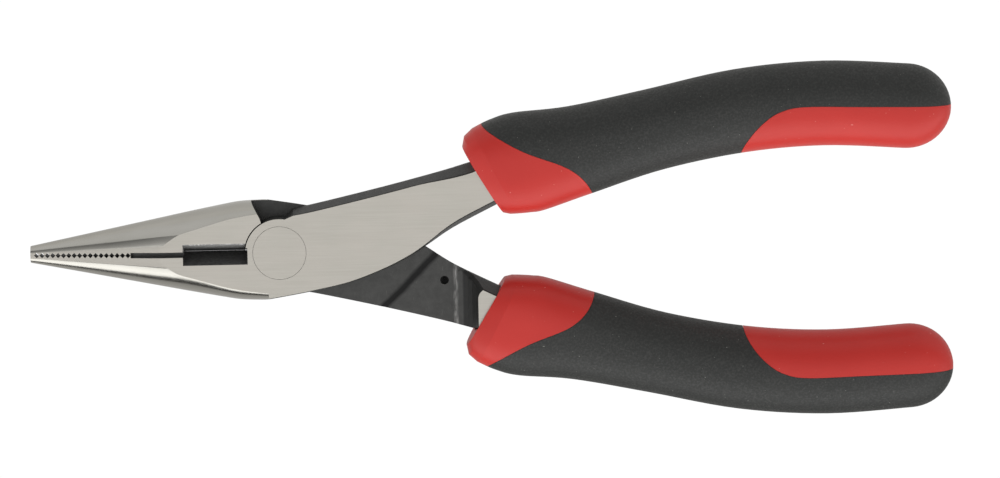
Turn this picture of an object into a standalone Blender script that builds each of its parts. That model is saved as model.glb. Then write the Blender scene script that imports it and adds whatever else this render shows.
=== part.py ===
"""Needle nose pliers with a side cutter, a riveted lap joint and two-material slip-on handle grips.

The pliers are two identical forgings. One is turned over and riveted to the other, and each handle's
tang carries the same grip: a hard core with a soft overmould bonded over it. So each shape is made once,
in a frame whose origin is on the pivot's axis at mid-thickness, and is then placed twice. That frame has
+X towards the handles, +Y towards the front half's handle and +Z towards the front face. Sizes are in
millimetres and become metres when a mesh is made. The jaws are closed.
"""

import math

import bmesh
import bpy
from mathutils import Euler, Vector

MM = 0.001

# Driving dimensions
JOINT_THICK = 9.5
HALF_THICK = JOINT_THICK / 2
TIP_X = -44.7
CREASE_AT = 0.53             # share of the nose's half width where its facet meets the rounded side
DRAFT = 0.7                  # how far the forging's sides stand out at mid-thickness, past its faces' edges
PARTING_BAND = 0.5           # half height of the upright band where the forging's two drafts meet
JAW_GAP = 0.05               # each jaw stands this far from the closing plane
LAP_GAP = 0.05               # each plate of the lap joint stands this far from mid-thickness

RIVET_HEAD_R = 4.75
RIVET_SHANK_R = 3.6
RIVET_HEAD_DEEP = 1.35       # straight rim of the head, before its cone
RIVET_CONE_DEEP = 1.2
RIVET_PLAY = 0.05
DISC_R = 6.1                 # rounded end of each plate of the lap joint
POCKET_R = DISC_R + 0.1
ROUND_STEPS = 64

TOOTH_PITCH = 0.969
TOOTH_COUNT = 18
TOOTH_DEEP = 0.36
TOOTH_CREST = 0.2
FIRST_TOOTH_X = -43.55
RELIEF_X = -26.6             # start of the jaws' smooth stretch, which runs from the teeth to the cutter
RELIEF_DEEP = 0.48
CUTTER_X = (-17.2, -6.1)
CUTTER_OPEN = (1.95, 1.85)    # depth of the cutter's notch at the forging's own front and back faces
CUTTER_EDGE = 0.08           # half of the gap between the two cutting edges

STOP_WALL_X = -3.1           # shoulder that stops the other half's neck when the jaws are fully open
RAMP_X = (31.5, 35.3)        # where the lap joint's floor climbs to the handle's full thickness
BLIND_HOLE_AT = (29.3, 6.25) # small hole in the lap joint's floor
BLIND_HOLE_R = 0.75
BLIND_HOLE_DEEP = 1.0
BEYOND = 60.0                # half width of a cutting form that clears the forging's sides

TANG_THIN_X = (40.0, 50.0)
TANG_HALF_THICK = 3.0
TANG_PLAY = 0.15

SKIN_SIDE = 2.2              # overmould's thickness across the handle
SKIN_FACE = 1.6              # overmould's thickness on the faces
SKIN_GAP = 0.15              # between the core and the overmould


def smooth(points, steps):
    """A Catmull-Rom curve through the points, tuples of any length, with this many steps between two."""
    ends = [points[0], *points, points[-1]]
    curve = []
    for i in range(1, len(ends) - 2):
        p0, p1, p2, p3 = (Vector(p) for p in ends[i - 1:i + 3])
        for k in range(steps):
            t = k / steps
            curve.append(tuple(
                p1 + (p2 - p0) * (t / 2)
                + (2 * p0 - 5 * p1 + 4 * p2 - p3) * (t * t / 2)
                + (3 * p1 - p0 - 3 * p2 + p3) * (t ** 3 / 2)))
    return [*curve, tuple(points[-1])]


def offset(line, distance):
    """An open line in plan, moved this far to the right of the way it runs."""
    moved = []
    for i, (x, y) in enumerate(line):
        before, after = Vector(line[max(i - 1, 0)]), Vector(line[min(i + 1, len(line) - 1)])
        along = (after - before).normalized()
        moved.append((x + along.y * distance, y - along.x * distance))
    return moved


def arc(radius, start_deg, end_deg, steps):
    """Points of a circle about the pivot, from one angle to another."""
    angles = [math.radians(start_deg + (end_deg - start_deg) * k / steps) for k in range(steps + 1)]
    return [(radius * math.cos(a), radius * math.sin(a)) for a in angles]


def closed_mesh(name, rings):
    """A solid through rings of the same number of points, with a flat cap on the first and the last."""
    mesh = bmesh.new()
    made = [[mesh.verts.new(Vector(p) * MM) for p in ring] for ring in rings]
    for low, high in zip(made, made[1:]):
        for i in range(len(low)):
            j = (i + 1) % len(low)
            mesh.faces.new((low[i], low[j], high[j], high[i]))
    bmesh.ops.triangulate(mesh, faces=mesh.faces)
    mesh.faces.new(made[0][::-1])
    mesh.faces.new(made[-1])
    bmesh.ops.recalc_face_normals(mesh, faces=mesh.faces)
    data = bpy.data.meshes.new(name)
    mesh.to_mesh(data)
    mesh.free()
    return data


def prism(name, low_outline, low_z, high_outline, high_z):
    """A solid between two outlines in plan that have the same number of points."""
    low = [(x, y, low_z) for x, y in low_outline]
    high = [(x, y, high_z) for x, y in high_outline]
    return closed_mesh(name, [low, high])


def turned(name, profile, steps=ROUND_STEPS):
    """A profile of (radius, z) points, turned about the pivot's axis and capped."""
    angles = [2 * math.pi * k / steps for k in range(steps)]
    return closed_mesh(name, [[(r * math.cos(a), r * math.sin(a), z) for a in angles] for r, z in profile])


def shaped(name, mesh, operations):
    """The mesh after these Booleans, in order, each an operation and the mesh that it uses."""
    stock = bpy.data.objects.new(name, mesh)
    bpy.context.scene.collection.objects.link(stock)
    tools = []
    for operation, tool_mesh in operations:
        tool = bpy.data.objects.new(tool_mesh.name, tool_mesh)
        bpy.context.scene.collection.objects.link(tool)
        tools.append(tool)
        modifier = stock.modifiers.new(tool_mesh.name, "BOOLEAN")
        modifier.operation = operation
        modifier.solver = "EXACT"
        modifier.object = tool
    bpy.context.view_layer.update()
    result = bpy.data.meshes.new_from_object(stock.evaluated_get(bpy.context.evaluated_depsgraph_get()))
    result.name = name
    for used in [stock, *tools]:
        bpy.data.objects.remove(used)
    result.shade_smooth()
    result.set_sharp_from_angle(angle=math.radians(30))
    return result


# Forging: jaw, plate of the lap joint, handle and tang

def toothed_edge():
    """The jaw's closing edge in plan, from the cutter's notch to the tip."""
    edge = [(CUTTER_X[0], -JAW_GAP - RELIEF_DEEP), (RELIEF_X, -JAW_GAP - RELIEF_DEEP)]
    for k in reversed(range(TOOTH_COUNT)):
        x = FIRST_TOOTH_X + k * TOOTH_PITCH
        half = (TOOTH_PITCH - TOOTH_CREST) / 2
        edge += [(x + half, -JAW_GAP), (x, -JAW_GAP - TOOTH_DEEP), (x - half, -JAW_GAP)]
    return [*edge, (TIP_X, -JAW_GAP)]


def forging_outline(draft):
    """The forging in plan: the jaw's outer side, the handle's inner edge, the tang and back to the jaw.

    The handle's two edges stand this far outside their lines on the faces."""
    nose_side = [(TIP_X, -2.5), (-13.5, -8.9)]
    inner_edge = smooth([(-10.5, -7.8), (-7.2, -8.12), (-3.5, -8.22), (-0.2, -8.0), (5.8, -6.95),
                         (12.4, -5.5), (18.4, -3.3), (22.8, -1.15), (26.1, 0.9), (30.9, 4.0),
                         (38.7, 7.95)], 3)
    tang_inner = smooth([(43.5, 10.2), (49.7, 12.3), (60.0, 15.0), (73.3, 18.7),
                         (83.2, 20.7), (93.1, 21.7), (103.0, 21.8)], 2)
    tang_end = [(106.0, 22.6), (107.0, 24.2), (106.0, 25.8)]
    tang_outer = smooth([(103.0, 26.7), (92.7, 27.0), (82.3, 26.2), (72.0, 24.4),
                         (58.5, 21.4), (48.0, 18.6), (40.5, 16.2)], 2)
    outer_edge = smooth([(34.5, 14.4), (28.7, 12.75), (18.7, 10.25), (7.1, 7.6), (2.6, 6.75)], 3)
    disc_end = arc(DISC_R, 80, 180, 18)
    return [*nose_side, *offset(inner_edge, draft), *tang_inner, *tang_end, *tang_outer,
            *offset(outer_edge, draft), *disc_end,
            (CUTTER_X[1], -JAW_GAP), (CUTTER_X[0], -JAW_GAP), *toothed_edge()]


# Nose of the closed pliers: distance along it, then half width at mid-thickness, half thickness at the
# closing edges and half thickness at the crease. Past the tip's stretch it is thicker than the stock,
# whose flat face then cuts it off.
NOSE_STATIONS = [
    (TIP_X - 1.0, 1.3, 1.36, 1.2),
    (-36.7, 3.1, 2.62, 2.27),
    (-28.7, 4.7, 3.74, 3.22),
    (-21.5, 6.14, 4.75, 4.17),
    (-16.4, 7.16, 5.45, 4.92),
    (-10.6, 8.25, 6.7, 6.0),
    (-4.5, 9.54, 7.6, 6.9),
    (4.0, 11.2, 9.0, 8.4),
]


def nose_section(half_width, edge_thick, crease_thick):
    """Section of the closed jaws: a facet that falls gently outwards, a crease and a rounded side."""
    crease = half_width * CREASE_AT
    shoulder = crease_thick - 0.65 * (half_width - crease)
    side = []
    for k in range(1, 7):
        t = k / 6
        y = (1 - t) ** 2 * crease + (1 - (1 - t) ** 2) * half_width
        z = (1 - t) ** 2 * crease_thick + 2 * t * (1 - t) * shoulder
        side.append((y, z))
    middle = (crease * 0.6, edge_thick - 0.33 * (edge_thick - crease_thick))
    quarter = [(0.0, edge_thick), middle, (crease, crease_thick), *side]
    half = quarter + [(y, -z) for y, z in reversed(quarter[:-1])]
    return half + [(-y, z) for y, z in reversed(half[1:-1])]


def forging_envelope():
    """The ground nose, which opens out past the joint, and then the tang's two thicknesses."""
    rings = [[(x, y, z) for y, z in nose_section(*sizes)] for x, *sizes in smooth(NOSE_STATIONS, 2)]
    square = [(y, max(-1, min(1, BEYOND * z))) for y, z in nose_section(1.0, 1.0, 0.9)]
    for x, half_thick in [(8.0, HALF_THICK + 1), (TANG_THIN_X[0] - 4, HALF_THICK + 1),
                          (TANG_THIN_X[1], TANG_HALF_THICK), (120.0, TANG_HALF_THICK)]:
        rings.append([(x, BEYOND * y, half_thick * z) for y, z in square])
    return closed_mesh("forging_envelope", rings)


def lap_pocket():
    """What the other half sweeps through: its round plate, its neck as far as the stop, and its jaw."""
    def outline(ramp_x):
        stop_y = -math.sqrt(POCKET_R ** 2 - STOP_WALL_X ** 2)
        stop_deg = math.degrees(math.atan2(stop_y, STOP_WALL_X)) + 360
        return [*arc(POCKET_R, 180, stop_deg, 10), (STOP_WALL_X + 0.05, -7.3), (-3.8, -8.3),
                (-5.8, -9.6), (-5.8, -14), (ramp_x, -14), (ramp_x, 30), (-7.5, 30), (-7.5, 0)]
    deep = HALF_THICK + 2
    slope = (RAMP_X[1] - RAMP_X[0]) / (HALF_THICK + LAP_GAP)
    ramp_top_x = RAMP_X[0] + slope * (deep + LAP_GAP)
    return prism("lap_pocket", outline(ramp_top_x), -deep, outline(RAMP_X[0]), LAP_GAP)


def cutter_notch():
    """A V from both faces that leaves the jaw's cutting edge at mid-thickness."""
    over = HALF_THICK + 1
    front, back = (deep * over / HALF_THICK for deep in CUTTER_OPEN)
    section = [(1.0, -over), (1.0, over), (-front, over), (-CUTTER_EDGE, 0.0), (-back, -over)]
    return closed_mesh("cutter_notch", [[(x, y, z) for y, z in section] for x in CUTTER_X])


def rivet_profile(play=0.0, past=0.0):
    """Half of the rivet's profile, from the mid-plane to the front, then as a whole from back to front."""
    rim = HALF_THICK - RIVET_HEAD_DEEP
    upper = [(RIVET_SHANK_R + play, rim - RIVET_CONE_DEEP), (RIVET_HEAD_R + play, rim),
             (RIVET_HEAD_R + play, HALF_THICK + past)]
    return [(r, -z) for r, z in reversed(upper)] + upper


def blind_hole():
    """The small hole in the floor of the lap joint, with a drill's conical end."""
    rings = []
    for radius, z in [(BLIND_HOLE_R, LAP_GAP - 1.0), (BLIND_HOLE_R, LAP_GAP + BLIND_HOLE_DEEP),
                      (BLIND_HOLE_R * 0.1, LAP_GAP + BLIND_HOLE_DEEP + BLIND_HOLE_R * 0.5)]:
        rings.append([(BLIND_HOLE_AT[0] + x, BLIND_HOLE_AT[1] + y, z) for x, y in arc(radius, 0, 345, 23)])
    return closed_mesh("blind_hole", rings)


def forging():
    levels = [(-HALF_THICK, 0.0), (-PARTING_BAND, DRAFT), (PARTING_BAND, DRAFT), (HALF_THICK, 0.0)]
    stock = closed_mesh("stock", [[(x, y, z) for x, y in forging_outline(draft)] for z, draft in levels])
    return shaped("forging", stock, [
        ("INTERSECT", forging_envelope()),
        ("DIFFERENCE", lap_pocket()),
        ("DIFFERENCE", cutter_notch()),
        ("DIFFERENCE", turned("rivet_hole", rivet_profile(RIVET_PLAY, 1.0))),
        ("DIFFERENCE", blind_hole()),
    ])


def rivet():
    return shaped("rivet", turned("rivet_stock", rivet_profile()), [])


# Grip: stations of the handle's centre line, from the mouth to the start of the round end. Each has the
# centre in plan, the line's angle in degrees, the half width, the half thickness and the power of the
# superellipse that is the grip's section: squarer at the mouth and nearly an ellipse along the handle.
GRIP_STATIONS = [
    (36.6, 11.9, 31.0, 7.0, 5.6, 2.6),
    (37.4, 12.65, 30.0, 8.1, 6.0, 2.6),
    (39.1, 13.5, 26.5, 8.7, 6.45, 2.5),
    (41.2, 14.25, 21.5, 9.0, 6.5, 2.5),
    (44.2, 14.75, 16.5, 9.2, 6.5, 2.4),
    (53.9, 16.8, 14.3, 8.1, 6.3, 2.2),
    (67.3, 20.2, 14.6, 7.35, 6.1, 2.15),
    (82.7, 23.25, 8.6, 7.5, 6.2, 2.15),
    (97.6, 24.33, 0.0, 7.58, 6.3, 2.15),
    (112.4, 23.53, -4.3, 7.58, 6.3, 2.15),
]
INNER_START = 4              # station where the overmould's hidden inner form starts
END_RADIUS = 8.0


def section_ring(x, y, angle_deg, half_width, half_thick, power, points):
    """A superellipse across the handle's centre line."""
    angle = math.radians(angle_deg)
    ring = []
    for k in range(points):
        turn = 2 * math.pi * k / points
        c, s = math.cos(turn), math.sin(turn)
        across = half_width * math.copysign(abs(c) ** (2 / power), c)
        up = half_thick * math.copysign(abs(s) ** (2 / power), s)
        ring.append((x - math.sin(angle) * across, y + math.cos(angle) * across, up))
    return ring


def grip_body(name, inset=0.0, face_inset=0.0, steps=2, points=24, start=0):
    """The grip's outer form, or a form inset from it, with a round end."""
    stations = smooth(GRIP_STATIONS[start:], steps)
    rings = [section_ring(x, y, angle, width - inset, thick - face_inset, power, points)
             for x, y, angle, width, thick, power in stations]
    x, y, angle, width, thick, power = GRIP_STATIONS[-1]
    turn = math.radians(angle)
    for share in (0.25, 0.5, 0.7, 0.85, 0.95, 0.992):
        shrink = math.sqrt(1 - share * share)
        reach = (END_RADIUS - inset) * share
        rings.append(section_ring(x + math.cos(turn) * reach, y + math.sin(turn) * reach, angle,
                                  (width - inset) * shrink, (thick - face_inset) * shrink ** 0.7, power,
                                  points))
    return closed_mesh(name, rings)


def colour_zones(name, grow=0.0):
    """Prisms over the two areas where the hard core shows: the guard at the mouth and the inner tail."""
    guard_line = smooth([(33.0, 25.5), (36.0, 22.3), (38.3, 20.5), (44.0, 17.35), (50.3, 14.95),
                         (53.0, 13.4), (54.8, 11.6), (56.0, 9.4), (57.2, 5.5)], 2)
    guard = [(x + grow, y + grow) for x, y in guard_line] + [(57.2, 0.0), (28.0, 0.0), (28.0, 25.5 + grow)]
    tail_line = smooth([(81.6, 10.0), (82.7, 15.8), (84.4, 19.1), (87.0, 21.9), (89.8, 23.6),
                        (94.0, 24.4), (104.8, 24.2), (124.0, 23.8)], 2)
    tail = [(x - grow, y + grow) for x, y in tail_line] + [(124.0, 10.0)]
    both = bmesh.new()
    for outline in (guard, tail):
        both.from_mesh(prism(name, outline, -12, outline, 12))
    data = bpy.data.meshes.new(name)
    both.to_mesh(data)
    both.free()
    return data


def tang_cavity():
    """Room for the tang: a bar a little larger than it, from before the mouth to past its end."""
    line = [(30.0, 9.0, 5.0, 4.75), (36.0, 11.0, 4.8, 4.75), (42.0, 13.2, 4.4, 4.6), (50.0, 15.7, 3.9, 3.2),
            (59.3, 18.2, 3.6, 3.0), (72.6, 21.55, 3.2, 3.0), (82.7, 23.45, 3.0, 3.0),
            (92.9, 24.35, 2.9, 3.0), (103.0, 24.3, 2.75, 3.0), (107.6, 24.2, 2.4, 3.0)]
    rings = []
    for i, (x, y, width, thick) in enumerate(line):
        before, after = line[max(i - 1, 0)], line[min(i + 1, len(line) - 1)]
        along = Vector((after[0] - before[0], after[1] - before[1])).normalized()
        side = Vector((-along.y, along.x)) * (width + TANG_PLAY)
        left, right = (x + side.x, y + side.y), (x - side.x, y - side.y)
        up = thick + TANG_PLAY
        rings.append([(*left, up), (*right, up), (*right, -up), (*left, -up)])
    return closed_mesh("tang_cavity", rings)


def grip_core():
    return shaped("grip_core", grip_body("core_outer"), [
        ("INTERSECT", colour_zones("core_windows")),
        ("UNION", grip_body("core_inner", SKIN_SIDE, SKIN_FACE, points=16, start=INNER_START)),
        ("DIFFERENCE", tang_cavity()),
    ])


def grip_overmould():
    return shaped("grip_overmould", grip_body("overmould_outer"), [
        ("DIFFERENCE", colour_zones("overmould_windows", SKIN_GAP)),
        ("DIFFERENCE", grip_body("overmould_inner", SKIN_SIDE - SKIN_GAP, SKIN_FACE - SKIN_GAP,
                                 points=16, start=INNER_START)),
    ])


# Materials and placing

def material(name, colour, roughness, metallic):
    made = bpy.data.materials.new(name)
    made.use_nodes = True
    shader = made.node_tree.nodes["Principled BSDF"]
    shader.inputs["Base Color"].default_value = (*colour, 1.0)
    shader.inputs["Roughness"].default_value = roughness
    shader.inputs["Metallic"].default_value = metallic
    return made


def placed(name, mesh, finish, body):
    """An object for this mesh, hung on a body, with its origin on the pivot's axis."""
    node = bpy.data.objects.new(name, mesh)
    bpy.context.scene.collection.objects.link(node)
    node.parent = body
    mesh.materials.clear()
    mesh.materials.append(finish)
    return node


def body_on_pivot(name, turned_over):
    """An empty on the pivot's axis, at mid-thickness, that carries one half of the pliers."""
    body = bpy.data.objects.new(name, None)
    bpy.context.scene.collection.objects.link(body)
    body.location = (0, 0, HALF_THICK * MM)
    body.rotation_euler = Euler((math.pi if turned_over else 0, 0, 0))
    return body


def main():
    for old in list(bpy.data.objects):
        bpy.data.objects.remove(old)
    steel = material("ground_steel", (0.55, 0.54, 0.51), 0.28, 1.0)
    rivet_steel = material("rivet_steel", (0.56, 0.55, 0.53), 0.3, 1.0)
    red = material("red_core", (0.62, 0.035, 0.03), 0.35, 0.0)
    black = material("black_overmould", (0.045, 0.047, 0.045), 0.65, 0.0)
    half, core, overmould = forging(), grip_core(), grip_overmould()
    for side, turned_over in (("front", False), ("back", True)):
        body = body_on_pivot(side + "_body", turned_over)
        placed(side + "_half", half, steel, body)
        placed(side + "_handle_core", core, red, body)
        placed(side + "_handle_overmould", overmould, black, body)
        if not turned_over:
            placed("pivot_rivet", rivet(), rivet_steel, body)


main()
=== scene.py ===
"""Looks of the needle nose pliers: finer meshes than the CAD's, their finishes, a studio and a camera.

Each visible piece stands for one CAD node. The pliers are two identical forgings with identical grips, so
each shape is made once, in a frame with its origin on the pivot's axis at mid-thickness, and is placed
twice. That frame has +X towards the handles, +Y towards the front half's handle and +Z towards the front
face. Sizes are in millimetres and become metres when a mesh is made.
"""

import math

import bmesh
import bpy
from mathutils import Matrix, Vector


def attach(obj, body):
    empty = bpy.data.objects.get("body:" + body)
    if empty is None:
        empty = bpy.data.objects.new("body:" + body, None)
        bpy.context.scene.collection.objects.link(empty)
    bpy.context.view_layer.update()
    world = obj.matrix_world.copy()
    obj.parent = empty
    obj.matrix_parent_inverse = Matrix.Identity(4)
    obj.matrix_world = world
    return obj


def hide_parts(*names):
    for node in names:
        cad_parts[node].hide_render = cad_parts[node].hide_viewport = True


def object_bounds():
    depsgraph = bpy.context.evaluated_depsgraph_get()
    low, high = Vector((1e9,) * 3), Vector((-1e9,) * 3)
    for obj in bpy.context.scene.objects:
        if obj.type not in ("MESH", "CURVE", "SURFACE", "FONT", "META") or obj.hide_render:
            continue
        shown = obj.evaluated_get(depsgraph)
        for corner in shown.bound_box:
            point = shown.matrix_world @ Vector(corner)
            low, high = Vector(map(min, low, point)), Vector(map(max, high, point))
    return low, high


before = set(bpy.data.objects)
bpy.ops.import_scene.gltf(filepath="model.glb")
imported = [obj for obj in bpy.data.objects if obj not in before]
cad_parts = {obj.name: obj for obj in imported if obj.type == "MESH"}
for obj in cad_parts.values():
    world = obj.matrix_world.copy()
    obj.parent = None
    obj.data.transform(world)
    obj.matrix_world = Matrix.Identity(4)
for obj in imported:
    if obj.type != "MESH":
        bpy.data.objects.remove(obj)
cad_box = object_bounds()

MM = 0.001
GROUND, POLISHED, OXIDE, CUT = 0, 1, 2, 3      # material indices of every mesh cut from the forging

HALF_THICK = 4.75
TIP_X = -44.7
DRAFT = 0.7
JAW_GAP = 0.01
LAP_GAP = 0.05

RIVET_HEAD_R = 4.75
RIVET_SHANK_R = 3.6
RIVET_HEAD_DEEP = 1.35
RIVET_CONE_DEEP = 1.2
RIVET_PLAY = 0.025
RIVET_CHAMFER = 0.02
DISC_R = 6.1
POCKET_R = 6.3
ROUND_STEPS = 120
PLAN_STEPS = 8               # steps between two points of the forging's curves in plan, and of its tang's
TANG_STEPS = 3
FORGING_SHARP_DEG = 12
RIVET_SHARP_DEG = 25
GRIP_SHARP_DEG = 30

TOOTH_PITCH = 0.969
TOOTH_COUNT = 18
TOOTH_DEEP = 0.47
TOOTH_CREST = 0.04
FIRST_TOOTH_X = -43.55
RELIEF_X = -26.6
RELIEF_DEEP = 0.48
CUTTER_X = (-17.25, -5.7)
CUTTER_OPEN = (1.95, 1.85)
CUTTER_EDGE = 0.006

BLIND_HOLE_AT = (29.3, 6.25)
BLIND_HOLE_R = 0.77
BLIND_HOLE_DEEP = 1.0
TANG_THIN_X = (36.0, 50.0)
TANG_HALF_THICK = 3.0
TANG_PLAY = 0.08
BEYOND = 60.0                # a reach well past the forging's sides

SKIN_SIDE = 2.2
SKIN_FACE = 1.6
SKIN_GAP = 0.04


# Curves and meshes

def smooth(points, steps):
    """A Catmull-Rom curve through the points, tuples of any length, with this many steps between two."""
    ends = [points[0], *points, points[-1]]
    curve = []
    for i in range(1, len(ends) - 2):
        p0, p1, p2, p3 = (Vector(p) for p in ends[i - 1:i + 3])
        for k in range(steps):
            t = k / steps
            curve.append(tuple(
                p1 + (p2 - p0) * (t / 2)
                + (2 * p0 - 5 * p1 + 4 * p2 - p3) * (t * t / 2)
                + (3 * p1 - p0 - 3 * p2 + p3) * (t ** 3 / 2)))
    return [*curve, tuple(points[-1])]


def offset(line, distance):
    """An open line in plan, moved this far to the right of the way it runs."""
    moved = []
    for i, (x, y) in enumerate(line):
        before, after = Vector(line[max(i - 1, 0)]), Vector(line[min(i + 1, len(line) - 1)])
        along = (after - before).normalized()
        moved.append((x + along.y * distance, y - along.x * distance))
    return moved


def arc(radius, start_deg, end_deg, steps):
    """Points of a circle about the pivot, from one angle to another."""
    angles = [math.radians(start_deg + (end_deg - start_deg) * k / steps) for k in range(steps + 1)]
    return [(radius * math.cos(a), radius * math.sin(a)) for a in angles]


def closed_mesh(name, rings, sides=OXIDE, caps=OXIDE):
    """A solid through rings of points, capped at both ends. sides and caps are material indices, and sides
    may be a function of the ring's number and the point's number instead."""
    mesh = bmesh.new()
    made = [[mesh.verts.new(Vector(p) * MM) for p in ring] for ring in rings]
    for k, (low, high) in enumerate(zip(made, made[1:])):
        for i in range(len(low)):
            j = (i + 1) % len(low)
            face = mesh.faces.new((low[i], low[j], high[j], high[i]))
            face.material_index = sides(k, i) if callable(sides) else sides
    bmesh.ops.triangulate(mesh, faces=mesh.faces)
    for ring in (made[0][::-1], made[-1]):
        mesh.faces.new(ring).material_index = caps
    bmesh.ops.recalc_face_normals(mesh, faces=mesh.faces)
    data = bpy.data.meshes.new(name)
    mesh.to_mesh(data)
    mesh.free()
    return data


def turned(name, profile, steps=ROUND_STEPS, sides=OXIDE, caps=OXIDE):
    """A profile of (radius, z) points, turned about the pivot's axis and capped."""
    angles = [2 * math.pi * k / steps for k in range(steps)]
    rings = [[(r * math.cos(a), r * math.sin(a), z) for a in angles] for r, z in profile]
    return closed_mesh(name, rings, sides, caps)


def shaped(name, mesh, operations, finishes, sharp_deg):
    """The mesh after these Booleans, in order, each an operation and the mesh that it uses."""
    for used in [mesh, *(tool for _, tool in operations)]:
        for finish in finishes:
            used.materials.append(finish)
    stock = bpy.data.objects.new(name, mesh)
    bpy.context.scene.collection.objects.link(stock)
    tools = []
    for operation, tool_mesh in operations:
        tool = bpy.data.objects.new(tool_mesh.name, tool_mesh)
        bpy.context.scene.collection.objects.link(tool)
        tools.append(tool)
        modifier = stock.modifiers.new(tool_mesh.name, "BOOLEAN")
        modifier.operation = operation
        modifier.solver = "EXACT"
        modifier.object = tool
    bpy.context.view_layer.update()
    result = bpy.data.meshes.new_from_object(stock.evaluated_get(bpy.context.evaluated_depsgraph_get()))
    result.name = name
    for used in [stock, *tools]:
        bpy.data.objects.remove(used)
    result.shade_smooth()
    result.set_sharp_from_angle(angle=math.radians(sharp_deg))
    return result


# Forging: jaw, plate of the lap joint, handle and tang

def toothed_edge():
    """The jaw's closing edge in plan, from the cutter's notch to the tip."""
    edge = [(CUTTER_X[0], -JAW_GAP - RELIEF_DEEP), (RELIEF_X, -JAW_GAP - RELIEF_DEEP)]
    for k in reversed(range(TOOTH_COUNT)):
        x = FIRST_TOOTH_X + k * TOOTH_PITCH
        half = (TOOTH_PITCH - TOOTH_CREST) / 2
        edge += [(x + half, -JAW_GAP), (x, -JAW_GAP - TOOTH_DEEP), (x - half, -JAW_GAP)]
    return [*edge, (TIP_X, -JAW_GAP)]


EASED_X = (24.0, 34.0)       # where the faces start to narrow towards the grip, and where they have narrowed
EASED_BY = 0.55


def eased(edge, draft):
    """An edge of the handle, moved out by the draft, and moved in near the grip except at mid-thickness."""
    moved = []
    for (x, y), (x1, y1) in zip(edge, offset(edge, 1.0)):
        share = min(1.0, max(0.0, (x - EASED_X[0]) / (EASED_X[1] - EASED_X[0])))
        out = draft - EASED_BY * share * share * (3 - 2 * share) * (1 - draft / DRAFT)
        moved.append((x + (x1 - x) * out, y + (y1 - y) * out))
    return moved


def forging_outline(draft):
    """The forging in plan: the jaw's outer side, the handle's inner edge, the tang and back to the jaw.

    The handle's two edges stand this far outside their lines on the faces."""
    nose_side = [(TIP_X, -2.5), (-13.5, -8.9)]
    inner_edge = smooth([(-10.5, -8.5), (-7.2, -8.6), (-3.5, -8.45), (-0.2, -8.0), (5.8, -6.95),
                         (12.4, -5.5), (18.4, -3.3), (22.8, -1.15), (26.1, 0.9), (30.9, 4.0),
                         (38.7, 7.95)], PLAN_STEPS)
    tang_inner = smooth([(43.5, 10.2), (49.7, 12.3), (60.0, 15.0), (73.3, 18.7),
                         (83.2, 20.7), (93.1, 21.7), (103.0, 21.8)], TANG_STEPS)
    tang_end = [(106.0, 22.6), (107.0, 24.2), (106.0, 25.8)]
    tang_outer = smooth([(103.0, 26.7), (92.7, 27.0), (82.3, 26.2), (72.0, 24.4),
                         (58.5, 21.4), (48.0, 18.6), (40.5, 16.2)], TANG_STEPS)
    outer_edge = smooth([(34.5, 14.4), (28.7, 12.75), (18.7, 10.25), (7.1, 7.6), (2.6, 6.75)],
                        PLAN_STEPS)
    disc_end = arc(DISC_R, 80, 180, 50)
    return [*nose_side, *eased(inner_edge, draft), *tang_inner, *tang_end, *tang_outer,
            *eased(outer_edge, draft), *disc_end,
            (-6.1, -JAW_GAP), (CUTTER_X[0], -JAW_GAP), *toothed_edge()]


# Nose of the closed pliers: distance along it, then half width at mid-thickness, the share of that width
# where the facet meets the rounded side in a crease, and half thickness at the closing edges and the crease.
NOSE_STATIONS = [
    (TIP_X - 1.0, 1.3, 0.53, 1.36, 1.2),
    (-36.7, 3.1, 0.53, 2.62, 2.27),
    (-28.7, 4.7, 0.53, 3.74, 3.22),
    (-21.5, 6.14, 0.53, 4.75, 4.17),
    (-16.4, 7.16, 0.54, 5.45, 4.9),
    (-10.6, 8.25, 0.69, 5.6, 4.82),
    (-7.1, 8.82, 0.74, 5.7, 4.8),
    (-3.5, 8.96, 0.79, 5.8, 4.8),
    (-2.1, 8.94, 0.81, 5.9, 4.8),
]
# Where the grinding stops short of the joint.
NOSE_END = [(-1.9, 9.6, 0.85, 8.4, 7.9), (8.0, 30.0, 0.85, 12.0, 11.0)]
# Share of the front's and of the back's facet that is nearly flat, before it falls away to the crease.
FACET_BENDS = (0.66, 0.5)
FLAT_STEPS = 3
FALL_STEPS = 6
SIDE_SLOPE = 0.66            # slope of the rounded side where it leaves the crease
SIDE_STEPS = 16


def facet_fall(t, bend):
    """How far a facet with this bend has fallen at this share of its width, in no particular unit."""
    past = max(0.0, t - bend)
    flat = min(t, bend)
    return 0.05 * flat + 0.07 * flat ** 2 + 0.2 * past + 0.14 / (1 - bend) * past ** 2


def nose_quarter(half_width, crease_share, edge_thick, crease_thick, bend):
    """A quarter of the closed jaws' section: a facet, a crease and a rounded side."""
    crease = half_width * crease_share
    shoulder = crease_thick - SIDE_SLOPE * (half_width - crease)
    drop = (edge_thick - crease_thick) / facet_fall(1.0, bend)
    shares = [bend * k / FLAT_STEPS for k in range(FLAT_STEPS)]
    shares += [bend + (1 - bend) * k / FALL_STEPS for k in range(FALL_STEPS)]
    facet = [(crease * t, edge_thick - drop * facet_fall(t, bend)) for t in shares]
    side = []
    for k in range(SIDE_STEPS + 1):
        t = k / SIDE_STEPS
        y = (1 - t) ** 2 * crease + (1 - (1 - t) ** 2) * half_width
        z = (1 - t) ** 2 * crease_thick + 2 * t * (1 - t) * shoulder
        side.append((y, z))
    return facet + side


def nose_section(*sizes):
    """The whole section of the closed jaws, of a station's sizes."""
    front, back = (nose_quarter(*sizes, bend) for bend in FACET_BENDS)
    half = front + [(y, -z) for y, z in reversed(back[:-1])]
    return half + [(-y, z) for y, z in reversed(half[1:-1])]


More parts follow.
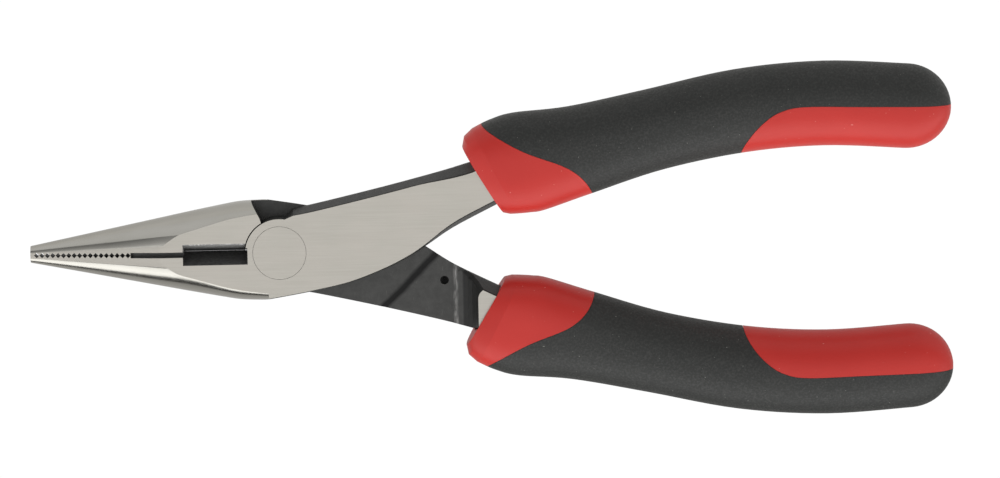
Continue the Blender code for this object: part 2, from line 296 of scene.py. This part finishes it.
NOSE_STEPS = 6
NOSE_RINGS = NOSE_STEPS * (len(NOSE_STATIONS) - 1)


def nose_finish(ring, point):
    """The facets are ground, the rest polished, and past the nose the forging is left black."""
    points = 4 * (FLAT_STEPS + FALL_STEPS + SIDE_STEPS)
    place = (point + 0.5) % (points / 2)
    if ring >= NOSE_RINGS:
        return OXIDE
    return GROUND if min(place, points / 2 - place) < FLAT_STEPS else POLISHED


def forging_envelope():
    """The ground nose, which opens out past the joint, and then the tang's two thicknesses."""
    stations = smooth(NOSE_STATIONS, NOSE_STEPS) + NOSE_END
    rings = [[(x, y, z) for y, z in nose_section(*sizes)] for x, *sizes in stations]
    square = [(y, max(-1, min(1, BEYOND * z))) for y, z in nose_section(1.0, 0.5, 1.0, 0.9)]
    for x, half_thick in [(12.0, HALF_THICK + 1), (TANG_THIN_X[0], HALF_THICK + 1),
                          (TANG_THIN_X[1], TANG_HALF_THICK), (2 * BEYOND, TANG_HALF_THICK)]:
        rings.append([(x, BEYOND * y, half_thick * z) for y, z in square])
    return closed_mesh("forging_envelope", rings, nose_finish)


# The ramp at the end of the lap joint's floor, from the floor down to the back face: x and height.
RAMP = [(31.3, LAP_GAP), (32.4, -0.25), (33.4, -0.85), (34.2, -1.7), (34.8, -2.8), (35.15, -3.9),
        (35.3, -HALF_THICK), (35.5, -HALF_THICK - 2)]


# The pocket's wall beside the round plate, which the other half's neck and jaw swing past.
NECK_WALL = [(-3.4, -6.3), (-3.73, -6.94), (-4.2, -7.75), (-4.7, -8.5), (-5.1, -9.1), (-7.0, -10.5)]
POCKET_Y = (-14.0, 30.0)     # clear of the forging's edges
POCKET_END_X = -7.5


def lap_pocket():
    """What the other half sweeps through: its round plate, its neck as far as the stop, and its jaw."""
    low, high = POCKET_Y
    rings = []
    for ramp_x, z in reversed(RAMP):
        rings.append([(x, y, z) for x, y in [
            *arc(POCKET_R, 180, 240, 30), *NECK_WALL, (NECK_WALL[-1][0], low), (ramp_x, low),
            (ramp_x, high), (POCKET_END_X, high), (POCKET_END_X, 0)]])
    return closed_mesh("lap_pocket", rings)


LAND_CORNER_AT = (37.2, 9.1)
LAND_CORNER_R = 1.9
# How far the rounded corner has moved along x and y at each height, from past the back face to the floor.
LAND_CORNER_LEVELS = [(0.0, 0.0, -HALF_THICK - 1), (0.0, 0.0, -HALF_THICK), (-0.5, -0.35, -4.0),
                      (-1.2, -1.0, -2.6), (-2.2, -2.0, -1.0), (-4.0, -3.4, 0.0)]


def land_corner():
    """Rounds the corner where the ramp meets the handle's inner edge on the back face."""
    at_x, at_y = LAND_CORNER_AT
    corner = [(at_x + x, at_y + y) for x, y in arc(LAND_CORNER_R, 180, 268, 14)]
    outline = [(33.0, 3.0), (33.0, 9.3), *corner, (39.0, 7.55), (39.6, 6.0), (38.0, 3.0)]
    rings = [[(x + dx, y + dy, z) for x, y in outline] for dx, dy, z in LAND_CORNER_LEVELS]
    return closed_mesh("land_corner", rings)


def cutter_notch():
    """A V from both faces that leaves the jaw's cutting edge at mid-thickness."""
    over = HALF_THICK + 1
    front, back = (deep * over / HALF_THICK for deep in CUTTER_OPEN)
    section = [(1.0, -over), (1.0, over), (-front, over), (-CUTTER_EDGE, 0.0), (-back, -over)]
    return closed_mesh("cutter_notch", [[(x, y, z) for y, z in section] for x in CUTTER_X], CUT, CUT)


def witness_groove():
    """A shallow groove that a form tool leaves slantwise across the lap joint's floor."""
    line = smooth([(31.5, -1.6), (28.4, 1.2), (26.0, 3.2), (23.3, 5.8), (21.1, 8.2), (18.9, 10.7),
                   (16.5, 13.6)], 6)
    deep, half_width = 0.07, 0.6
    near, far = offset(line, half_width), offset(line, -half_width)
    rings = []
    for (x, y), (x0, y0), (x1, y1) in zip(line, near, far):
        rings.append([(x0, y0, -0.5), (x0, y0, LAP_GAP), (x, y, LAP_GAP + deep), (x1, y1, LAP_GAP),
                      (x1, y1, -0.5)])
    return closed_mesh("witness_groove", rings)


def rivet_profile(play=0.0, past=0.0, chamfer=0.0):
    """The rivet's profile from back to front. The chamfer opens or closes its rim at the faces."""
    rim = HALF_THICK - RIVET_HEAD_DEEP
    upper = [(RIVET_SHANK_R + play, rim - RIVET_CONE_DEEP), (RIVET_HEAD_R + play, rim),
             (RIVET_HEAD_R + play, HALF_THICK - abs(chamfer)), (RIVET_HEAD_R + play + chamfer, HALF_THICK)]
    if past:
        upper.append((RIVET_HEAD_R + play + chamfer, HALF_THICK + past))
    return [(r, -z) for r, z in reversed(upper)] + upper


def blind_hole():
    """The small hole in the floor of the lap joint, with a drill's conical end."""
    rings = []
    for radius, z in [(BLIND_HOLE_R, LAP_GAP - 1.0), (BLIND_HOLE_R, LAP_GAP + BLIND_HOLE_DEEP),
                      (BLIND_HOLE_R * 0.1, LAP_GAP + BLIND_HOLE_DEEP + BLIND_HOLE_R * 0.5)]:
        rings.append([(BLIND_HOLE_AT[0] + x, BLIND_HOLE_AT[1] + y, z) for x, y in arc(radius, 0, 350, 35)])
    return closed_mesh("blind_hole", rings)


# Heights through the forging and how far its sides stand out there: a small round at each face's edge,
# then the draft, then a rounded parting line.
EDGE_LEVELS = [(HALF_THICK, -0.09), (4.71, -0.03), (4.64, 0.01), (4.5, 0.05), (1.6, 0.5), (0.8, 0.63),
               (0.0, DRAFT)]


def forging(finishes):
    """One of the two identical forgings."""
    levels = [(-z, draft) for z, draft in EDGE_LEVELS] + list(reversed(EDGE_LEVELS[:-1]))
    rings = [[(x, y, z) for x, y in forging_outline(draft)] for z, draft in levels]
    tip = len(rings[0]) - 1
    stock = closed_mesh("stock", rings, lambda _, point: GROUND if point == tip else OXIDE, GROUND)
    return shaped("forging", stock, [
        ("INTERSECT", forging_envelope()),
        ("DIFFERENCE", lap_pocket()),
        ("DIFFERENCE", land_corner()),
        ("DIFFERENCE", cutter_notch()),
        ("DIFFERENCE", turned("rivet_hole", rivet_profile(RIVET_PLAY, 1.0, RIVET_CHAMFER))),
        ("DIFFERENCE", blind_hole()),
        ("DIFFERENCE", witness_groove()),
    ], finishes, FORGING_SHARP_DEG)


def rivet(finish):
    stock = turned("rivet_stock", rivet_profile(chamfer=-RIVET_CHAMFER), sides=0, caps=0)
    return shaped("rivet", stock, [], [finish], RIVET_SHARP_DEG)


# Grip: stations of the handle's centre line, from the mouth to the start of the round end. Each has the
# centre in plan, the line's angle in degrees, the half width, the half thickness and the power of the
# superellipse that is the grip's section: squarer at the mouth and nearly an ellipse along the handle.
GRIP_MOUTH = [(36.6, 11.9, 31.0, 7.0, 5.5, 2.6), (37.4, 12.65, 30.0, 8.1, 5.95, 2.6)]
GRIP_STATIONS = [
    (38.8, 13.35, 27.5, 8.65, 6.45, 2.5),
    (41.5, 14.2, 22.5, 9.05, 6.55, 2.5),
    (45.0, 15.0, 17.5, 9.15, 6.5, 2.4),
    (53.9, 16.8, 14.3, 8.1, 6.3, 2.2),
    (67.3, 20.2, 14.6, 7.35, 6.1, 2.1),
    (82.7, 23.25, 8.6, 7.5, 6.2, 2.1),
    (97.6, 24.33, 0.0, 7.58, 6.3, 2.1),
    (112.4, 23.53, -4.3, 7.58, 6.3, 2.1),
]
INNER_START = 2              # station where the overmould's hidden inner form starts
INNER_STEPS, INNER_POINTS = 3, 32
END_RADIUS = 8.0
END_STEPS = 14
ZONE_REACH = 12              # of the colour zones' prisms, past the grip's faces


def section_ring(x, y, angle_deg, half_width, half_thick, power, points):
    """A superellipse across the handle's centre line."""
    angle = math.radians(angle_deg)
    ring = []
    for k in range(points):
        turn = 2 * math.pi * k / points
        c, s = math.cos(turn), math.sin(turn)
        across = half_width * math.copysign(abs(c) ** (2 / power), c)
        up = half_thick * math.copysign(abs(s) ** (2 / power), s)
        ring.append((x - math.sin(angle) * across, y + math.cos(angle) * across, up))
    return ring


def grip_body(name, inset=0.0, face_inset=0.0, steps=7, points=96, start=0):
    """The grip's outer form, or a form inset from it, with a round end."""
    stations = ([] if start else GRIP_MOUTH) + smooth(GRIP_STATIONS[start:], steps)
    rings = [section_ring(x, y, angle, width - inset, thick - face_inset, power, points)
             for x, y, angle, width, thick, power in stations]
    x, y, angle, width, thick, power = GRIP_STATIONS[-1]
    turn = math.radians(angle)
    for k in range(1, END_STEPS + 1):
        share = math.sin(k / (END_STEPS + 0.6) * math.pi / 2)
        shrink = math.sqrt(1 - share * share)
        reach = (END_RADIUS - inset) * share
        rings.append(section_ring(x + math.cos(turn) * reach, y + math.sin(turn) * reach, angle,
                                  (width - inset) * shrink, (thick - face_inset) * shrink ** 0.7, power,
                                  points))
    return closed_mesh(name, rings, 0, 0)


def colour_zones(name, grow=0.0):
    """Prisms over the two areas where the hard core shows: the guard at the mouth and the inner tail."""
    guard_line = smooth([(33.0, 25.5), (36.0, 22.3), (38.3, 20.5), (44.0, 17.35), (50.3, 14.95),
                         (53.0, 13.4), (54.8, 11.6), (56.0, 9.4), (57.2, 5.5)], 6)
    guard = [(x + grow, y + grow) for x, y in guard_line] + [(57.2, 0.0), (28.0, 0.0), (28.0, 25.5 + grow)]
    tail_line = smooth([(81.6, 10.0), (82.7, 15.8), (84.4, 19.1), (87.0, 21.9), (89.8, 23.6),
                        (94.0, 24.4), (104.8, 24.2), (124.0, 23.8)], 6)
    tail = [(x - grow, y + grow) for x, y in tail_line] + [(124.0, 10.0)]
    both = bmesh.new()
    for outline in (guard, tail):
        ends = [[(x, y, z) for x, y in outline] for z in (-ZONE_REACH, ZONE_REACH)]
        both.from_mesh(closed_mesh(name, ends, 0, 0))
    data = bpy.data.meshes.new(name)
    both.to_mesh(data)
    both.free()
    return data


def tang_cavity():
    """Room for the tang: a bar a little larger than it, from before the mouth to past its end. Each station
    has its centre in plan, its half width and half thickness, and how much narrower it is at its faces."""
    line = [(30.0, 9.0, 5.0, 4.75, 1.15), (36.0, 11.0, 4.65, 4.75, 1.15), (39.3, 12.2, 4.5, 4.7, 1.1),
            (44.0, 13.8, 4.3, 4.2, 0.0), (50.0, 15.7, 3.9, 3.2, 0.0), (59.3, 18.2, 3.6, 3.0, 0.0),
            (72.6, 21.55, 3.2, 3.0, 0.0), (82.7, 23.45, 3.0, 3.0, 0.0), (92.9, 24.35, 2.9, 3.0, 0.0),
            (103.0, 24.3, 2.75, 3.0, 0.0), (107.6, 24.2, 2.4, 3.0, 0.0)]
    rings = []
    for i, (x, y, width, thick, narrower) in enumerate(line):
        before, after = line[max(i - 1, 0)], line[min(i + 1, len(line) - 1)]
        along = Vector((after[0] - before[0], after[1] - before[1])).normalized()
        side = Vector((-along.y, along.x))
        wide, up = width + TANG_PLAY, thick + TANG_PLAY
        rings.append([(x + side.x * out, y + side.y * out, z) for out, z in [
            (wide - narrower, up), (narrower - wide, up), (-wide, 0.0), (narrower - wide, -up),
            (wide - narrower, -up), (wide, 0.0)]])
    return closed_mesh("tang_cavity", rings, 0, 0)


def grip_core(finish):
    return shaped("grip_core", grip_body("core_outer"), [
        ("INTERSECT", colour_zones("core_windows")),
        ("UNION", grip_body("core_inner", SKIN_SIDE, SKIN_FACE, steps=INNER_STEPS,
                            points=INNER_POINTS, start=INNER_START)),
        ("DIFFERENCE", tang_cavity()),
    ], [finish], GRIP_SHARP_DEG)


def grip_overmould(finish):
    return shaped("grip_overmould", grip_body("overmould_outer"), [
        ("DIFFERENCE", colour_zones("overmould_windows", SKIN_GAP)),
        ("DIFFERENCE", grip_body("overmould_inner", SKIN_SIDE - SKIN_GAP, SKIN_FACE - SKIN_GAP,
                                 steps=INNER_STEPS, points=INNER_POINTS, start=INNER_START)),
    ], [finish], GRIP_SHARP_DEG)


# Finishes. Texture coordinates are the row frame's, in metres.

def add(tree, kind, inputs=(), **settings):
    """A shader node with these settings. Each input has a value, or another node's output."""
    made = tree.nodes.new("ShaderNode" + kind)
    for name, value in settings.items():
        setattr(made, name, value)
    for socket, value in dict(inputs).items():
        if isinstance(value, bpy.types.NodeSocket):
            tree.links.new(value, made.inputs[socket])
        else:
            made.inputs[socket].default_value = value
    return made


def grain(tree, sizes_mm, detail=2.0, rough=0.5):
    """Noise whose features have these sizes along x, y and z."""
    coords = add(tree, "TexCoord").outputs["Object"]
    scale = tuple(1 / (size * MM) for size in sizes_mm)
    scaled = add(tree, "VectorMath", {0: coords, 1: scale}, operation="MULTIPLY").outputs["Vector"]
    made = add(tree, "TexNoise", {"Vector": scaled, "Scale": 1.0, "Detail": detail, "Roughness": rough})
    return made.outputs["Fac"]


def ranged(tree, value, low, high, to_low, to_high):
    """A value's range mapped to another, and held inside it."""
    made = add(tree, "MapRange", {"Value": value, "From Min": low, "From Max": high,
                                  "To Min": to_low, "To Max": to_high})
    return made.outputs["Result"]


def mixed(tree, share, first, second):
    """A colour between two, each a triple or another node's output."""
    ends = [(*c, 1.0) if isinstance(c, tuple) else c for c in (first, second)]
    made = add(tree, "Mix", {"Factor": share, "A": ends[0], "B": ends[1]}, data_type="RGBA")
    return made.outputs["Result"]


def calculated(tree, operation, *values):
    return add(tree, "Math", enumerate(values), operation=operation).outputs["Value"]


def bumped(tree, height, strength, distance_mm, edge_mm=0.0):
    """A normal from a height, over edges that look this much rounded."""
    inputs = {"Height": height, "Strength": strength, "Distance": distance_mm * MM}
    if edge_mm:
        inputs["Normal"] = add(tree, "Bevel", {"Radius": edge_mm * MM}, samples=4).outputs["Normal"]
    return add(tree, "Bump", inputs).outputs["Normal"]


def finish(name, build, metallic, **sockets):
    """A Principled material. build gets the node tree and gives the sockets that vary over the surface."""
    made = bpy.data.materials.new(name)
    made.use_nodes = True
    tree = made.node_tree
    shader = tree.nodes["Principled BSDF"]
    shader.inputs["Metallic"].default_value = metallic
    for socket, value in sockets.items():
        shader.inputs[socket.replace("_", " ")].default_value = value
    for socket, value in build(tree).items():
        tree.links.new(value, shader.inputs[socket])
    return made


def brushed(tree):
    """Flats ground along the pliers: fine streaks over faint blotches."""
    streaks = grain(tree, (9.0, 0.16, 0.16), 3.0, 0.6)
    blotches = grain(tree, (7.0, 4.0, 4.0))
    tone = mixed(tree, ranged(tree, streaks, 0.3, 0.7, 0.0, 1.0),
                 (0.495, 0.473, 0.425), (0.535, 0.515, 0.466))
    tone = mixed(tree, ranged(tree, blotches, 0.35, 0.65, 0.0, 0.35), tone, (0.56, 0.522, 0.475))
    return {
        "Base Color": tone,
        "Roughness": ranged(tree, streaks, 0.3, 0.7, 0.36, 0.28),
        "Normal": bumped(tree, streaks, 0.15, 0.004, 0.06),
    }


def polished(tree):
    """Sides of the nose: finer, glossier, with faint lines round the form."""
    lines = grain(tree, (5.0, 0.5, 0.12), 2.0)
    blotches = grain(tree, (6.0, 3.0, 3.0))
    return {
        "Base Color": mixed(tree, blotches, (0.46, 0.447, 0.405), (0.53, 0.517, 0.478)),
        "Roughness": ranged(tree, lines, 0.3, 0.7, 0.19, 0.11),
        "Normal": bumped(tree, lines, 0.12, 0.004, 0.05),
    }


def place_along(tree, axis):
    """A coordinate of the place on the surface, in metres."""
    coords = add(tree, "TexCoord").outputs["Object"]
    return add(tree, "SeparateXYZ", {0: coords}).outputs[axis]


def near(tree, value, centre_mm, full_mm, none_mm):
    """1 where the value is this near the centre, falling to 0 at the second distance."""
    away = calculated(tree, "ABSOLUTE", calculated(tree, "SUBTRACT", value, centre_mm * MM))
    return ranged(tree, away, full_mm * MM, none_mm * MM, 1.0, 0.0)


RIDGE_X = 31.25              # foot of the lap joint's ramp
BAND_SLANT = 29.3            # x + |y| along the dark band that slants across the joint's floor


def lap_floor_masks(tree):
    """The scraped foot of the ramp, the dark band and the whole of the lap joint's floor."""
    on_floor = near(tree, place_along(tree, "Z"), HALF_THICK, 0.25, 0.45)
    wander = ranged(tree, grain(tree, (5.0, 3.0, 50.0)), 0.3, 0.7, -0.15 * MM, 0.15 * MM)
    along = calculated(tree, "ADD", place_along(tree, "X"), wander)
    slant = calculated(tree, "ADD", along, calculated(tree, "ABSOLUTE", place_along(tree, "Y")))
    ridge = near(tree, along, RIDGE_X, 0.08, 0.5)
    band = near(tree, slant, BAND_SLANT, 0.45, 1.35)
    return (calculated(tree, "MULTIPLY", ridge, on_floor), calculated(tree, "MULTIPLY", band, on_floor),
            on_floor)


def cut_face(tree):
    """Faces of the cutter: blackened too, and rubbed, the back half's most and above all near its edge. The
    back half's lighter tone is partly rubbed metal and partly painted light, and its near-white scratches
    carry painted highlights.
    """
    across = place_along(tree, "Y")
    # Painted light: past 0.3 mm on the back half's faces, the tone turns lighter and streaked. This is
    # partly rubbing and partly painted light where the overhead light falls.
    rubbed_and_lit = ranged(tree, across, 0.3 * MM, 1.0 * MM, 0.0, 1.0)
    edge = ranged(tree, across, 1.45 * MM, 1.75 * MM, 0.0, 1.0)
    rubbed = grain(tree, (0.5, 0.5, 0.25), 4.0, 0.7)
    streaks = grain(tree, (0.35, 0.35, 1.2), 3.0, 0.7)
    fine = grain(tree, (0.2, 0.2, 0.2), 2.0)
    tone = mixed(tree, ranged(tree, rubbed, 0.35, 0.62, 0.0, 1.0),
                 (0.030, 0.030, 0.029), (0.085, 0.085, 0.083))
    tone = mixed(tree, rubbed_and_lit, tone, mixed(tree, ranged(tree, streaks, 0.3, 0.7, 0.0, 1.0),
                                         (0.20, 0.20, 0.195), (0.40, 0.40, 0.39)))
    # Near-white scratches near the back half's face edge: real scratches with painted highlights on them.
    scratches_and_highlight = calculated(tree, "MULTIPLY", edge, ranged(tree, streaks, 0.5, 0.6, 0.0, 1.0))
    return {
        "Base Color": mixed(tree, scratches_and_highlight, tone, (0.85, 0.84, 0.82)),
        "Roughness": ranged(tree, fine, 0.3, 0.7, 0.6, 0.42),
        "Normal": bumped(tree, rubbed, 0.3, 0.02, 0.05),
    }


def oxide(tree):
    """Black scale on the forged sides and the lap joint's floor, scratched through in places. The sides are
    painted darker as painted shade.
    """
    mottle = grain(tree, (1.6, 1.6, 1.6), 4.0, 0.65)
    fine = grain(tree, (0.25, 0.25, 0.25), 2.0)
    scratches = grain(tree, (0.3, 1.6, 2.0), 4.0, 0.7)
    ridge, band, on_floor = lap_floor_masks(tree)
    bare = calculated(tree, "MULTIPLY", ridge, ranged(tree, scratches, 0.38, 0.62, 0.1, 0.9))
    scuffs = ranged(tree, grain(tree, (0.5, 2.6, 2.6), 4.0, 0.7), 0.62, 0.78, 0.0, 0.5)
    tone = mixed(tree, ranged(tree, mottle, 0.3, 0.7, 0.0, 1.0),
                 (0.034, 0.034, 0.032), (0.056, 0.056, 0.053))
    tone = mixed(tree, scuffs, tone, (0.15, 0.15, 0.14))
    # Painted shade: off the lap joint's floor, the scale on the forged sides is painted much darker, for the
    # shade that falls on them.
    tone = mixed(tree, ranged(tree, on_floor, 0.0, 1.0, 0.7, 0.0), tone, (0.006, 0.006, 0.006))
    tone = mixed(tree, band, tone, (0.006, 0.006, 0.006))
    return {
        "Specular IOR Level": calculated(tree, "MULTIPLY", ranged(tree, band, 0.0, 1.0, 0.5, 0.22),
                                         ranged(tree, on_floor, 0.0, 1.0, 0.6, 1.0)),
        "Base Color": mixed(tree, bare, tone, (0.30, 0.295, 0.285)),
        "Roughness": ranged(tree, fine, 0.3, 0.7, 0.52, 0.36),
        "Normal": bumped(tree, fine, 0.3, 0.02, 0.05),
    }


def hard_red(tree):
    """Satin moulded plastic with a faint grain and a few pale specks."""
    fine = grain(tree, (0.35, 0.35, 0.35), 3.0)
    broad = grain(tree, (9.0, 9.0, 9.0))
    specks = ranged(tree, grain(tree, (0.4, 0.4, 0.4), 0.0), 0.85, 0.88, 0.0, 0.4)
    tone = mixed(tree, broad, (0.53, 0.022, 0.016), (0.61, 0.031, 0.023))
    return {
        "Base Color": mixed(tree, specks, tone, (0.85, 0.45, 0.40)),
        "Roughness": ranged(tree, fine, 0.3, 0.7, 0.46, 0.36),
        "Normal": bumped(tree, fine, 0.25, 0.02, 0.08),
    }


def pebbled_black(tree):
    """Soft rubber with a fine pebble and sparse light specks."""
    pebble = grain(tree, (0.38, 0.38, 0.38), 2.0, 0.6)
    broad = grain(tree, (8.0, 8.0, 8.0))
    specks = ranged(tree, grain(tree, (0.33, 0.33, 0.33), 0.0), 0.85, 0.88, 0.0, 0.4)
    tone = mixed(tree, broad, (0.013, 0.014, 0.0125), (0.019, 0.020, 0.018))
    tone = mixed(tree, ranged(tree, pebble, 0.45, 0.75, 0.0, 0.6), tone, (0.044, 0.044, 0.041))
    return {
        "Base Color": mixed(tree, specks, tone, (0.42, 0.42, 0.38)),
        "Roughness": ranged(tree, pebble, 0.3, 0.7, 0.62, 0.46),
        "Normal": bumped(tree, pebble, 0.8, 0.08, 0.08),
    }


# Placing

def placed(name, mesh, turned_over, body, node):
    """A piece for this mesh, in the row frame, that rides on a body and stands for a CAD node."""
    own = mesh.copy()
    own.transform(Matrix.Translation((0, 0, HALF_THICK * MM))
                  @ Matrix.Rotation(math.pi if turned_over else 0.0, 4, "X"))
    piece = bpy.data.objects.new(name, own)
    bpy.context.scene.collection.objects.link(piece)
    weighted = piece.modifiers.new("even_flats", "WEIGHTED_NORMAL")
    weighted.keep_sharp = True
    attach(piece, body)
    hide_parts(node)
    return piece


def build_pliers():
    steel = [finish("ground_flats", brushed, 1.0), finish("polished_sides", polished, 1.0),
             finish("black_scale", oxide, 0.0), finish("cutter_faces", cut_face, 0.0)]
    rivet_steel = finish("rivet_face", brushed, 1.0)
    half = forging(steel)
    core = grip_core(finish("red_plastic", hard_red, 0.0, Specular_IOR_Level=0.42))
    overmould = grip_overmould(finish("black_rubber", pebbled_black, 0.0))
    for side, turned_over in (("front", False), ("back", True)):
        body = side + "_body"
        placed(side + "_forging", half, turned_over, body, side + "_half")
        placed(side + "_core", core, turned_over, body, side + "_handle_core")
        placed(side + "_overmould", overmould, turned_over, body, side + "_handle_overmould")
    placed("rivet", rivet(rivet_steel), False, "front_body", "pivot_rivet")


# Studio

FLOOR_GAP = 0.1              # between the object's lowest point and the floor
FLOOR_SIZE = 4000.0
FLOOR_SEEN = 1.02            # brightness of the floor to the camera
# The floor's light on the pliers, across it: less on the lower handle's side than on the upper's, and little
# far out there.
FLOOR_FADE = (-40.0, 40.0)
FLOOR_LIGHT = (0.47, 0.72)
FLOOR_EDGE = (-75.0, -50.0)
FLOOR_EDGE_LIGHT = 0.15
# Brightness of the studio by angle, in degrees, from overhead: below 0 towards the lower handle's side,
# above 0 towards the upper's.
STUDIO = [(-180, 0.5), (-92, 0.08), (-87, 0.08), (-84.5, 1.98), (-65, 1.98), (-37, 1.65), (-34, 0.3),
          (-28, 0.3), (-23, 1.0), (-4, 0.97), (11, 0.92), (20, 0.5), (38, 0.24), (47, 0.22), (55, 0.7),
          (75, 0.76), (92, 0.72), (180, 0.5)]


def seen_or_lighting(tree, seen, lighting):
    """One emission for what the camera sees and another for what lights the object."""
    camera_ray = add(tree, "LightPath").outputs["Is Camera Ray"]
    return add(tree, "MixShader", {0: camera_ray, 1: lighting, 2: seen}).outputs["Shader"]


def studio_world():
    """Plain white to the camera, and bands of light along the pliers to everything else."""
    world = bpy.data.worlds.new("studio")
    bpy.context.scene.world = world
    world.use_nodes = True
    tree = world.node_tree
    tree.nodes.clear()
    way = add(tree, "SeparateXYZ", {0: add(tree, "TexCoord").outputs["Generated"]}).outputs
    angle = add(tree, "Math", {0: way["Y"], 1: way["Z"]}, operation="ARCTAN2").outputs["Value"]
    ramp = add(tree, "ValToRGB", {"Fac": ranged(tree, angle, -math.pi, math.pi, 0.0, 1.0)})
    brightest = max(value for _, value in STUDIO)
    stops = ramp.color_ramp.elements
    for at, _ in STUDIO[1:-1]:
        stops.new((at + 180) / 360)
    for stop, (_, value) in zip(stops, STUDIO):
        stop.color = (*[value / brightest] * 3, 1.0)
    light = add(tree, "Background", {"Color": ramp.outputs["Color"], "Strength": brightest})
    plain = add(tree, "Background", {"Color": (1.0, 1.0, 1.0, 1.0), "Strength": 1.0})
    surface = seen_or_lighting(tree, plain.outputs["Background"], light.outputs["Background"])
    add(tree, "OutputWorld", {"Surface": surface})


def studio_floor():
    """A white sweep just under the pliers, which the lights burn out. From below it isn't there."""
    half = FLOOR_SIZE * MM / 2
    z = cad_box[0].z - FLOOR_GAP * MM
    data = bpy.data.meshes.new("floor")
    data.from_pydata([(-half, -half, z), (half, -half, z), (half, half, z), (-half, half, z)], [],
                     [(0, 1, 2, 3)])
    made = bpy.data.materials.new("floor_white")
    made.use_nodes = True
    tree = made.node_tree
    tree.nodes.clear()
    plain = add(tree, "Emission", {"Color": (1.0, 1.0, 1.0, 1.0), "Strength": FLOOR_SEEN})
    across = calculated(tree, "DIVIDE", place_along(tree, "Y"), MM)
    glow = calculated(tree, "MULTIPLY", ranged(tree, across, *FLOOR_FADE, *FLOOR_LIGHT),
                      ranged(tree, across, *FLOOR_EDGE, FLOOR_EDGE_LIGHT, 1.0))
    light = add(tree, "Emission", {"Color": (1.0, 0.99, 0.97, 1.0), "Strength": glow})
    shown = seen_or_lighting(tree, plain.outputs["Emission"], light.outputs["Emission"])
    below = add(tree, "NewGeometry").outputs["Backfacing"]
    surface = add(tree, "MixShader", {0: below, 1: shown, 2: add(tree, "BsdfTransparent").outputs["BSDF"]})
    add(tree, "OutputMaterial", {"Surface": surface.outputs["Shader"]})
    data.materials.append(made)
    floor = bpy.data.objects.new("floor", data)
    bpy.context.scene.collection.objects.link(floor)


CAMERA_TILT = 8.5            # degrees off square to the faces, towards the upper handle's side
CAMERA_ROLL = 1.21
CAMERA_AWAY = 995.6
CAMERA_LENS = 200.0
CAMERA_SENSOR = 36.0
CAMERA_CLIP = (0.05, 20.0)   # metres
LOOK_AT = (39.4, 0.99, 4.75)


def studio_camera():
    """A long lens, nearly square to the pliers' faces."""
    tilt, roll = math.radians(CAMERA_TILT), math.radians(CAMERA_ROLL)
    across = Vector((1, 0, 0))
    up = Vector((0, math.cos(tilt), -math.sin(tilt)))
    back = Vector((0, math.sin(tilt), math.cos(tilt)))
    right = across * math.cos(roll) - up * math.sin(roll)
    top = up * math.cos(roll) + across * math.sin(roll)
    data = bpy.data.cameras.new("camera")
    data.lens = CAMERA_LENS
    data.sensor_width = CAMERA_SENSOR
    data.clip_start, data.clip_end = CAMERA_CLIP
    camera = bpy.data.objects.new("camera", data)
    camera.matrix_world = Matrix.Translation((Vector(LOOK_AT) + back * CAMERA_AWAY) * MM) \
        @ Matrix((right, top, back)).transposed().to_4x4()
    bpy.context.scene.collection.objects.link(camera)
    bpy.context.scene.camera = camera


bpy.context.scene.view_settings.view_transform = "Standard"
build_pliers()
studio_world()
studio_floor()
studio_camera()
